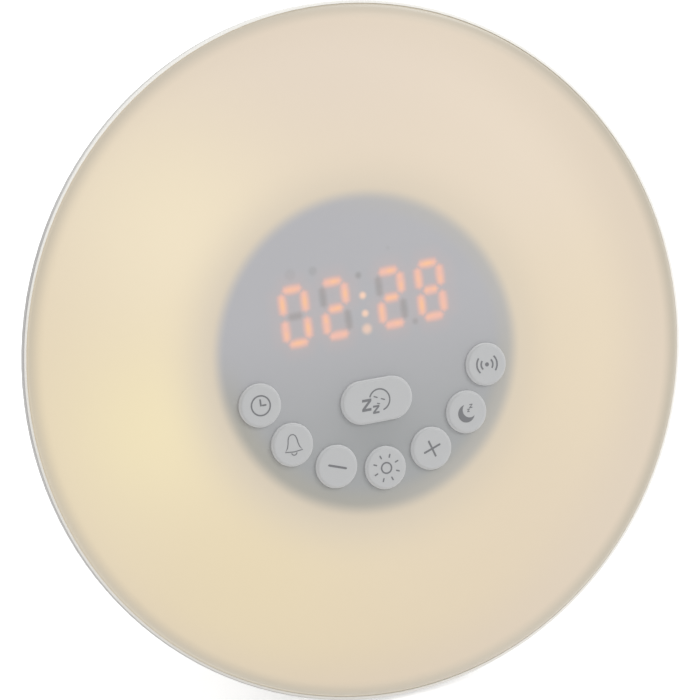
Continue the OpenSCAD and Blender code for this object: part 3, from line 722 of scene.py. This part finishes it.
def icon_sleep(p):
    """Crescent with two zig-zags: a disc less the smaller disc that bites into it."""
    outer, bite = 2.12, 1.84
    shift, middle = Vector((0.97, 0.78)), Vector((-0.3, -0.3))
    reach = shift.length
    base = math.atan2(shift.y, shift.x)
    open_angle = math.acos((outer * outer + reach * reach - bite * bite) / (2 * outer * reach))
    bite_angle = math.acos((bite * bite + reach * reach - outer * outer) / (2 * bite * reach))
    outer_steps, bite_steps = 24, 20
    points = []
    for k in range(outer_steps + 1):
        angle = base + open_angle + (math.tau - 2 * open_angle) * k / outer_steps
        points.append(middle + outer * heading(angle))
    for k in range(1, bite_steps):
        angle = base + math.pi + bite_angle - 2 * bite_angle * k / bite_steps
        points.append(middle + shift + bite * heading(angle))
    p.outline(points)
    zigzag(p, (0.3, 0.35), 0.62, 0.75, 0.18, 0.15)
    zigzag(p, (1.05, 1.3), 0.8, 0.95, 0.21, 0.15)


def icon_radio(p):
    """Dot with two waves on each side."""
    p.outline([0.5 * heading(math.tau * k / 16) for k in range(16)])
    for radius in (1.5, 2.6):
        for middle in (0, 180):
            p.arc((0, 0), radius, middle - 42, middle + 42, 0.4, 14)


def icon_snooze(p):
    """Sleeper's head, tilted to the right, with closed eyes, a small mouth and two zig-zags."""
    centre, tilt = Vector((0.5, 0.1)), Matrix.Rotation(math.radians(-24), 2)
    p.arc(centre, 2.53, -76, 158, 0.34)
    for start, end, stroke in (
        ((-1.55, 0.35), (-0.75, 0.35), 0.3),
        ((0.35, 0.35), (1.15, 0.35), 0.3),
        ((-0.3, -0.95), (0.25, -0.9), 0.26),
    ):
        p.bar(centre + tilt @ Vector(start), centre + tilt @ Vector(end), stroke)
    zigzag(p, (-2.85, -0.65), 2.3, 2.8, 0.6, 0.12)
    zigzag(p, (-0.65, -2.0), 1.6, 1.9, 0.45, 0.12)


ICONS = {
    "time": icon_time, "alarm": icon_alarm, "minus": icon_minus, "light": icon_light,
    "plus": icon_plus, "sleep": icon_sleep, "radio": icon_radio, "snooze": icon_snooze,
}


# ---------- materials ----------


def face_place(web):
    """Place of a point of the clock in the frame of the face, in millimetres."""
    place = web.place()
    found = []
    for axis in (Vector((1, 0, 0)), Vector((0, math.sin(LEAN), math.cos(LEAN))), -INWARD):
        found.append(web.less(web.dot(place, axis / MM), FACE_AT.dot(axis) / MM))
    return found


def away_from(web, x, y, at):
    """Distance on the face from a place."""
    dx, dy = web.less(x, at[0]), web.less(y, at[1])
    return web.math("SQRT", web.math("ADD", web.times(dx, dx), web.times(dy, dy)))


def patch(web, x, y, at, spread, strength):
    """Mask of a soft round patch."""
    near = web.math("DIVIDE", away_from(web, x, y, at), spread)
    return web.times(web.math("EXPONENT", web.times(near, near, -0.5)), strength)


def dots(web, x, y, rows):
    """Mask of round dots, from rows of place, size, softness and strength."""
    found = []
    for at, size, soft, strength in rows:
        away = away_from(web, x, y, at)
        found.append(web.times(web.rest(web.smooth(away, size - soft, size + soft)), strength))
    return web.largest(*found)


def ring_colour(web, x, y, cover):
    """The lit ring, from its inner edge to where it turns over at the rim, with painted shade and a
    painted highlight.
    """
    ring = web.mix(web.smooth(y, *COOL_Y), tuple(cover.ring), tuple(cover.cool))
    ring = web.mix(web.smooth(y, *WARM_Y), ring, tuple(cover.warm))
    for name, at, spread, strength in RING_PATCHES:
        ring = web.mix(patch(web, x, y, at, spread, strength), ring, tuple(getattr(cover, name)))
    # Painted shade beside the panel, from the light dam behind the cover
    inner = web.rest(web.smooth(away_from(web, x, y, INNER_SHADE_AT), *INNER_SHADE_SPAN))
    ring = web.mix(web.math("POWER", inner, INNER_SHADE_FALL), ring, tuple(cover.ring_inner_shade))
    # Painted shade towards the outer edge of the ring, strongest on the right
    side = web.smooth(away_from(web, x, y, SIDE_SHADE_AT), *SIDE_SHADE_SPAN)
    ring = web.mix(side, ring, tuple(cover.ring_side_shade))
    # Painted shade at the rim, darker on the right: the lit field ends behind the skin, so its edge
    # lies a little to one side
    rim = web.smooth(away_from(web, x, y, RIM_SHADE_AT), *RIM_SHADE_SPAN)
    shaded = web.smooth(x, *RIM_SHADE_X)
    rim_shade_tone = web.mix(shaded, tuple(cover.ring_rim_shade), tuple(cover.rim_shade))
    # Painted highlight on the outer edge on the left
    edge = web.smooth(away_from(web, x, y, PANEL_AT), *EDGE_LIGHT_SPAN)
    edge = web.times(edge, web.smooth(x, *EDGE_LIGHT_X))
    return web.mix(rim, ring, web.mix(edge, rim_shade_tone, tuple(cover.rim_edge_light)))


def panel_colour(web, x, y, cover):
    """The grey panel, with painted shade at its foot and lower edge, and lit a little from the ring
    at its edges.
    """
    r = away_from(web, x, y, PANEL_AT)
    # Painted shade towards the foot of the panel
    panel = web.mix(web.smooth(y, *PANEL_SHADE_Y), tuple(cover.panel_low_shade), tuple(cover.panel_top))
    # Painted shade along the lower edge of the panel
    low_edge_shade = web.times(web.smooth(r, *LOW_EDGE_SHADE_SPAN), web.smooth(y, *LOW_EDGE_SHADE_Y))
    panel = web.mix(low_edge_shade, panel, tuple(cover.panel_edge_shade))
    panel = web.mix(patch(web, x, y, *KEY_SHADE), panel, tuple(cover.panel_shade))
    right_edge = web.times(web.smooth(r, *RIGHT_EDGE_SPAN), web.smooth(x, *RIGHT_EDGE_X))
    right_edge = web.times(right_edge, RIGHT_EDGE_SHARE)
    return web.mix(right_edge, panel, tuple(cover.panel_glow))


def display_masks(web, x, y, display):
    """Masks of the lit bars, their middles, their halo and all that is unlit."""
    digit_y = web.less(web.less(y, DIGIT_Y), web.times(x, DIGIT_RISE))
    digits = []
    for digit_x, flags in zip(DIGIT_XS, DIGIT_BARS):
        bars = {"Bar_%d" % k: float(on) for k, on in enumerate(flags)}
        digits.append(use_group(
            web, "display_digit", X=web.less(x, digit_x), Y=digit_y, Height=display.digit_h,
            Width=display.digit_w, Bar_width=display.bar_w, Blur=BAR_BLUR, **bars,
        ))
    lit, middle, halo, unlit = (
        web.largest(*(digit[label] for digit in digits))
        for label in ("Lit", "Middle", "Halo", "Unlit")
    )
    return lit, middle, halo, web.largest(unlit, dots(web, x, y, UNLIT_DOTS))


def cover_material(cover, display):
    """Milky plastic lit from behind: ring, middle panel and the digits behind it."""
    mat, web, shader = material("milky_cover", (0.8, 0.8, 0.8), COVER_ROUGHNESS)
    place = web.place()
    on_face = web.add("ShaderNodeVectorMath", {"operation": "SCALE"}, Vector=place, Scale=1 / MM)
    x, y, _ = web.split(on_face.outputs[0])

    lit_span = (cover.panel_r - LIT_FIELD_BLUR, cover.panel_r + LIT_FIELD_BLUR)
    lit_field = web.smooth(away_from(web, x, y, LIT_FIELD_AT), *lit_span)
    face = web.mix(lit_field, panel_colour(web, x, y, cover), ring_colour(web, x, y, cover))
    bars, middles, halo, unlit = display_masks(web, x, y, display)
    face = web.mix(web.times(unlit, UNLIT_SHARE), face, tuple(display.unlit))
    face = web.mix(web.times(halo, HALO_SHARE), face, tuple(display.halo))
    # Each chip shines a little differently through its bar
    chips = web.noise(place, CHIP_SCALE, 1.0)
    share = web.times(middles, web.smooth(chips, *CHIP_SPAN))
    face = web.mix(bars, face, web.mix(share, tuple(display.lit), tuple(display.hot)))
    glow = dots(web, x, y, LIT_DOTS)
    face = web.mix(glow, face, tuple(display.dot))
    grain = use_group(web, "moulded_grain", Grains_per_metre=1500.0, Haze=0.1)
    face = web.mix(web.times(grain["Tone"], COVER_DRIFT), face, (1, 1, 1))

    # Only the ring and the bars have light behind them
    lit = web.largest(lit_field, bars, glow)
    own_share = web.rest(web.times(lit, cover.glow_share))
    web.put(shader.inputs["Base Color"], web.mix(own_share, (0, 0, 0), face))
    web.put(shader.inputs["Emission Color"], web.mix(lit, (0, 0, 0), face))
    shader.inputs["Emission Strength"].default_value = cover.glow_share
    rough = web.math("ADD", grain["Haze"], COVER_ROUGHNESS, clamp=True)
    web.put(shader.inputs["Roughness"], rough)
    web.put(shader.inputs["Normal"], web.bump(grain["Height"], distance=0.00001, strength=0.4))
    shader.inputs["Specular IOR Level"].default_value = 0.3
    return mat


def cap_material(look):
    """Milky cap with painted light on its side, lighter than its printed top, and a faint painted
    glow all over.
    """
    mat = moulded("button_cap", tuple(look.cap), roughness=0.5, grains=3200.0, change=0.015)
    web, shader, colour = reopen(mat)
    # Painted light on the side of the cap
    side = web.smooth(face_place(web)[2], *CAP_SIDE_LIGHT_Z)
    web.put(shader.inputs["Base Color"], web.mix(side, colour, tuple(look.cap_side_light)))
    shader.inputs["Emission Color"].default_value = (*look.cap, 1)
    shader.inputs["Emission Strength"].default_value = CAP_GLOW
    return mat


def housing_material(look):
    """White moulding, with a painted highlight on the front of the rim and painted shade on the
    outside of it on the left.
    """
    mat = moulded("white_housing", tuple(look.housing), roughness=0.42, grains=1800.0, change=0.012)
    web, shader, colour = reopen(mat)
    x, y, z = face_place(web)
    r = away_from(web, x, y, (0, 0))
    # Painted highlight on the front of the rim, except at the foot
    front = web.times(
        web.smooth(z, *RIM_HIGHLIGHT_Z), web.smooth(r, *RIM_HIGHLIGHT_R), web.smooth(y, *RIM_HIGHLIGHT_Y)
    )
    # Painted shade on the outside of the rim on the left
    side = web.times(
        web.smooth(r, *RIM_SIDE_SHADE_R), web.smooth(z, *RIM_SIDE_SHADE_Z),
        web.smooth(x, *RIM_SIDE_SHADE_X), web.smooth(y, *RIM_SIDE_SHADE_Y),
    )
    colour = web.mix(front, colour, tuple(look.rim))
    web.put(shader.inputs["Base Color"], web.mix(side, colour, tuple(look.rim_side_shade)))
    return mat


def cell_material():
    """Sleeved cell with bare metal ends."""
    mat = moulded("cell_jacket", srgb(70, 110, 96), roughness=0.3, coat=0.4)
    web, shader, colour = reopen(mat)
    end = web.math("ABSOLUTE", web.split(web.place())[0])
    bare = web.smooth(end, (CELL_L / 2 - CELL_END - 0.1) * MM, (CELL_L / 2 - CELL_END) * MM)
    web.put(shader.inputs["Base Color"], web.mix(bare, colour, srgb(200, 200, 198)))
    web.put(shader.inputs["Metallic"], bare)
    return mat


# Plain finishes of the CAD nodes: name, colour, settings and nodes
HOUSING_FINISHES = (
    ("foot_rubber", (52, 52, 54), {"roughness": 0.8, "grains": 1400.0, "depth": 0.00004},
     ("rubber_feet",)),
    ("grommet_rubber", (205, 205, 203), {"roughness": 0.75}, ("aerial_grommet",)),
    ("plated_screw", (190, 190, 192), {"roughness": 0.3, "metallic": 1.0, "change": 0.06},
     ("case_screws", "speaker_screws", "key_board_screws", "power_board_screws")),
    ("tinned_metal", (205, 204, 198), {"roughness": 0.35, "metallic": 1.0, "change": 0.05},
     ("power_socket", "contact_plates", "display_pins")),
)
INSIDE_FINISHES = (
    ("grey_dam", (165, 166, 168), {"roughness": 0.6}, ("light_dam",)),
    ("white_tray", (244, 244, 240), {"roughness": 0.6}, ("reflector",)),
    ("white_board", (236, 237, 233), {"roughness": 0.4}, ("led_board",)),
    ("warm_led", (250, 214, 120), {"roughness": 0.3}, ("warm_leds",)),
    ("colour_led", (228, 230, 236), {"roughness": 0.2}, ("colour_leds",)),
    ("display_body", (140, 140, 142), {"roughness": 0.5}, ("display_body",)),
    ("bars_lit", (255, 140, 80), {"roughness": 0.3}, ("display_bars_lit",)),
    ("bars_unlit", (110, 110, 112), {"roughness": 0.3}, ("display_bars_unlit",)),
    ("green_board", (34, 92, 58), {"roughness": 0.35, "coat": 0.3}, ("key_board", "power_board")),
    ("black_parts", (36, 36, 38), {"roughness": 0.5},
     ("key_board_chips", "power_board_chips", "led_board_chips", "switch_bodies",
      *(name + "_plunger" for name in KEYS))),
    ("speaker_steel", (60, 60, 62), {"roughness": 0.45, "coat": 0.2}, ("speaker_frame",)),
    ("magnet", (66, 66, 68), {"roughness": 0.6}, ("speaker_magnet",)),
    ("speaker_cone", (40, 40, 42), {"roughness": 0.85}, ("speaker_cone",)),
    ("ribbon_grey", (188, 188, 194), {"roughness": 0.55}, ("ribbon_leads",)),
)


# ---------- shapes ----------


def cover_outline():
    """Half profile of the front cover from the middle outwards, on its outside and its inside."""
    crown, crown_r, arc, edge, hollow, skin_t = 5.5, 60.0, 100.0, 4.0, 30.0, 2.0
    gap_to_rim, foot = 0.82, -0.5
    cover_r = RIM_R - gap_to_rim
    crown_c = crown - arc
    edge_c = crown_c + math.sqrt((arc - edge) ** 2 - (cover_r - edge - crown_r) ** 2)
    hollow_c = CENTRE_TOP + hollow
    hollow_x = crown_r - math.sqrt((arc + hollow) ** 2 - (hollow_c - crown_c) ** 2)
    corner_end = math.atan2(edge_c - crown_c, cover_r - edge - crown_r)
    crown_end = math.atan2(hollow_c - crown_c, hollow_x - crown_r)

    def arc_of(centre, radius, start, end, steps):
        points = []
        for k in range(steps + 1):
            angle = start + (end - start) * k / steps
            points.append(
                (centre[0] + radius * math.cos(angle), centre[1] + radius * math.sin(angle))
            )
        return points

    def side(inset):
        rise = arc_of((hollow_x, hollow_c), hollow + inset, 1.5 * math.pi, crown_end + math.pi, 8)
        top = arc_of((crown_r, crown_c), arc - inset, crown_end, corner_end, 30)
        corner = arc_of((cover_r - edge, edge_c), edge - inset, corner_end, 0, 12)
        return rise + top[1:] + corner[1:] + [(cover_r - inset, foot)]

    return side(0), side(skin_t)


def hole_cutter(name):
    """Upright prism through the hole of a key, as two rings of points."""
    x, y = key_place(name)
    radius, run = (LONG_HOLE_R, LONG_HOLE_RUN) if name == "snooze" else (HOLE_R, 0)
    rings = []
    for z in (CUT_LOW, CUT_HIGH):
        ring = []
        for k in range(HOLE_STEPS):
            angle = math.tau * (k + 0.5) / HOLE_STEPS
            across, up = math.cos(angle), math.sin(angle)
            ring.append((x + math.copysign(run, across) + radius * across, y + radius * up, z))
        rings.append(ring)
    return rings


def spring_mesh(length, tip_r, base_r, wire_r, turns):
    """Wound conical spring along +z, from its narrow end at 0 to its wide end."""
    bm = bmesh.new()
    steps, sides = 16 * turns, 8
    run = length - 2 * wire_r
    rings = []
    for k in range(steps + 1):
        share = k / steps
        angle = math.tau * turns * share
        r = tip_r + (base_r - tip_r) * share - wire_r
        # The end coils lie flat, as ground ends do
        climb = min(1, max(0, (share * turns - 0.5) / (turns - 1)))
        out = Vector((math.cos(angle), math.sin(angle), 0))
        at = out * r + Vector((0, 0, wire_r + run * climb))
        ring = []
        for j in range(sides):
            turn = math.tau * j / sides
            rise = Vector((0, 0, wire_r * math.sin(turn)))
            ring.append(bm.verts.new(at + out * wire_r * math.cos(turn) + rise))
        rings.append(ring)
    skin(bm, rings)
    return mesh_of(bm, "contact_spring")


# ---------- operators ----------


class CLOCK_OT_camera(bpy.types.Operator):
    """Place the camera in front of the face"""

    bl_idname = "clock.camera"
    bl_label = "Camera"

    def execute(self, context):
        look = context.scene.clock_stage
        data = bpy.data.cameras.new("camera")
        data.lens = look.lens
        data.sensor_width = SENSOR_W
        cam = bpy.data.objects.new("camera", data)
        context.scene.collection.objects.link(cam)
        flat, height = math.cos(look.elevation), math.sin(look.elevation)
        back = Vector((math.sin(look.azimuth) * flat, -math.cos(look.azimuth) * flat, height))
        turn = (-back).to_track_quat("-Z", "Y").to_matrix() @ Matrix.Rotation(look.roll, 3, "Z")
        at = FACE_AT + Vector(AIM_SHIFT) * MM + back * look.distance
        cam.matrix_world = Matrix.Translation(at) @ turn.to_4x4()
        context.scene.camera = cam
        return {"FINISHED"}


class CLOCK_OT_front_cover(bpy.types.Operator):
    """Build the smooth milky front cover with its button holes"""

    bl_idname = "clock.front_cover"
    bl_label = "Front cover"

    def execute(self, context):
        scene = context.scene
        mat = cover_material(scene.clock_cover, scene.clock_display)
        outer, inner = cover_outline()
        bm = bmesh.new()
        turns = [math.tau * k / COVER_TURNS for k in range(COVER_TURNS)]
        skin(bm, [
            [bm.verts.new((r * math.cos(turn), r * math.sin(turn), z)) for turn in turns]
            for r, z in outer + inner[::-1]
        ])
        mesh = mesh_of(bm, "front_cover")
        ob = piece("front_cover", mesh, "housing", mat)
        self.cut_holes(ob)
        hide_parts("front_diffuser")
        return {"FINISHED"}

    def cut_holes(self, ob):
        bm = bmesh.new()
        for name in KEYS:
            skin(bm, [[bm.verts.new(point) for point in ring] for ring in hole_cutter(name)])
        mesh = mesh_of(bm, "hole_cutter")
        mesh.transform(Matrix.Scale(MM, 4))
        cutter = bpy.data.objects.new("hole_cutter", mesh)
        bpy.context.scene.collection.objects.link(cutter)
        cutter.matrix_world = ob.matrix_world
        cut = ob.modifiers.new("holes", "BOOLEAN")
        cut.operation = "DIFFERENCE"
        cut.solver = "EXACT"
        cut.object = cutter
        bpy.context.view_layer.update()
        shape = ob.evaluated_get(bpy.context.evaluated_depsgraph_get())
        made = bpy.data.meshes.new_from_object(shape)
        ob.modifiers.clear()
        ob.data = made
        made.set_sharp_from_angle(angle=math.radians(35))
        bpy.data.objects.remove(cutter)


class CLOCK_OT_buttons(bpy.types.Operator):
    """Finish the button caps and print their icons"""

    bl_idname = "clock.buttons"
    bl_label = "Buttons and icons"

    def execute(self, context):
        look = context.scene.clock_plastic
        give([name + "_button" for name in KEYS], cap_material(look))
        ink = moulded("icon_ink", tuple(look.icon), roughness=0.6, grains=4000.0, change=0.04)
        base = CAP_TOP - PRINT_INSET
        for name, draw in ICONS.items():
            flat = Print()
            draw(flat)
            mesh = flat.mesh("icon_" + name, key_place(name), base, look.icon_t / MM)
            piece("icon_" + name, mesh, name + "_key", ink, smooth=False)
        return {"FINISHED"}


class CLOCK_OT_housing(bpy.types.Operator):
    """Finish the rear housing, its door, feet and small parts"""

    bl_idname = "clock.housing"
    bl_label = "Rear housing"

    def execute(self, context):
        give(["rear_housing", "battery_door"], housing_material(context.scene.clock_plastic))
        give_all(HOUSING_FINISHES)
        return {"FINISHED"}


class CLOCK_OT_springs(bpy.types.Operator):
    """Wind the three contact springs of the battery bay"""

    bl_idname = "clock.springs"
    bl_label = "Contact springs"

    def execute(self, context):
        wire = moulded(
            "spring_wire", srgb(206, 205, 200), roughness=0.28, metallic=1.0, change=0.04
        )
        springs = []
        for i in (-1, 0, 1):
            # The cells lie head to tail
            side = -1 if i == 0 else 1
            mesh = spring_mesh(length=SPRING_L, tip_r=1.8, base_r=3.4, wire_r=0.25, turns=4)
            mesh.transform(Matrix.Rotation(side * math.pi / 2, 4, "Y"))
            at = (side * CELL_L / 2, BAY_Y + i * CELL_STEP, CELL_Z)
            mesh.transform(Matrix.Translation(at))
            name = "contact_spring_%d" % (i + 2)
            springs.append(piece(name, mesh, "housing", wire))
        for spring in springs:
            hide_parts("contact_springs")
        return {"FINISHED"}


class CLOCK_OT_inside(bpy.types.Operator):
    """Finish the parts inside the housing"""

    bl_idname = "clock.inside"
    bl_label = "Inside"

    def execute(self, context):
        give_all(INSIDE_FINISHES)
        give(["backup_cells"], cell_material())
        return {"FINISHED"}


class CLOCK_OT_stage(bpy.types.Operator):
    """Add the pale floor and the soft light"""

    bl_idname = "clock.stage"
    bl_label = "Floor and light"

    def execute(self, context):
        scene = context.scene
        look = scene.clock_stage
        scene.view_settings.view_transform = "Standard"
        self.lay_floor(scene, look)
        self.light_world(scene, look)
        for name, place, size in LAMPS:
            self.add_lamp(scene, name, place, size, look.key)
        return {"FINISHED"}

    def lay_floor(self, scene, look):
        mat, web, shader = material("pale_floor", tuple(look.floor), roughness=0.9)
        shader.inputs["Specular IOR Level"].default_value = 0.0
        seen = web.add("ShaderNodeLightPath").outputs
        clear = web.largest(seen["Is Camera Ray"], seen["Is Glossy Ray"])
        web.put(shader.inputs["Emission Strength"], web.times(clear, FLOOR_GLOW))
        shader.inputs["Emission Color"].default_value = (1, 1, 1, 1)
        bm = bmesh.new()
        bmesh.ops.create_grid(bm, x_segments=1, y_segments=1, size=FLOOR_SIZE)
        mesh = mesh_of(bm, "floor")
        floor = bpy.data.objects.new("floor", mesh)
        floor.location.z = -FLOOR_DROP
        mesh.materials.append(mat)
        scene.collection.objects.link(floor)

    def light_world(self, scene, look):
        """Soft light from the upper right, less from the lower left and from behind."""
        world = bpy.data.worlds.new("even_light")
        scene.world = world
        world.use_nodes = True
        web = Web(world.node_tree)
        seen = web.add("ShaderNodeLightPath").outputs
        clear = web.largest(seen["Is Camera Ray"], seen["Is Transmission Ray"])
        ray = web.add("ShaderNodeTexCoord").outputs["Generated"]
        towards = web.dot(ray, Vector(BRIGHT_SIDE).normalized())
        soft = web.smooth(towards, *LIGHT_SPAN, look.world * WEAKEST, look.world * STRONGEST)
        strength = web.math("ADD", web.times(clear, web.rest(soft)), soft)
        background = world.node_tree.nodes["Background"].inputs
        web.put(background["Color"], (1, 1, 1))
        web.put(background["Strength"], strength)

    def add_lamp(self, scene, name, place, size, power):
        data = bpy.data.lights.new(name, "AREA")
        data.size = size
        data.energy = power
        lamp = bpy.data.objects.new(name, data)
        lamp.location = place
        lamp.rotation_mode = "QUATERNION"
        lamp.rotation_quaternion = (FACE_AT - Vector(place)).to_track_quat("-Z", "Y")
        scene.collection.objects.link(lamp)


class CLOCK_PT_panel(bpy.types.Panel):
    """Lists the steps that dress the clock."""

    bl_idname = "CLOCK_PT_panel"
    bl_label = "Sunrise Alarm Clock"
    bl_space_type = "VIEW_3D"
    bl_region_type = "UI"
    bl_category = "Clock"

    def draw(self, context):
        for step in STEPS:
            self.layout.operator(step.bl_idname)


STEPS = (
    CLOCK_OT_camera, CLOCK_OT_front_cover, CLOCK_OT_buttons, CLOCK_OT_housing,
    CLOCK_OT_springs, CLOCK_OT_inside, CLOCK_OT_stage,
)
SETTINGS = {
    "clock_cover": CLOCK_PG_cover, "clock_display": CLOCK_PG_display,
    "clock_plastic": CLOCK_PG_plastic, "clock_stage": CLOCK_PG_stage,
}


def register():
    for cls in (*SETTINGS.values(), *STEPS, CLOCK_PT_panel):
        bpy.utils.register_class(cls)
    for name, cls in SETTINGS.items():
        setattr(bpy.types.Scene, name, PointerProperty(type=cls))


def unregister():
    for name in SETTINGS:
        delattr(bpy.types.Scene, name)
    for cls in reversed((*SETTINGS.values(), *STEPS, CLOCK_PT_panel)):
        bpy.utils.unregister_class(cls)


def main():
    register()
    build_moulded_grain()
    build_digit()
    bpy.ops.clock.camera()
    bpy.ops.clock.front_cover()
    bpy.ops.clock.buttons()
    bpy.ops.clock.housing()
    bpy.ops.clock.springs()
    bpy.ops.clock.inside()
    bpy.ops.clock.stage()


if __name__ == "__main__":
    main()
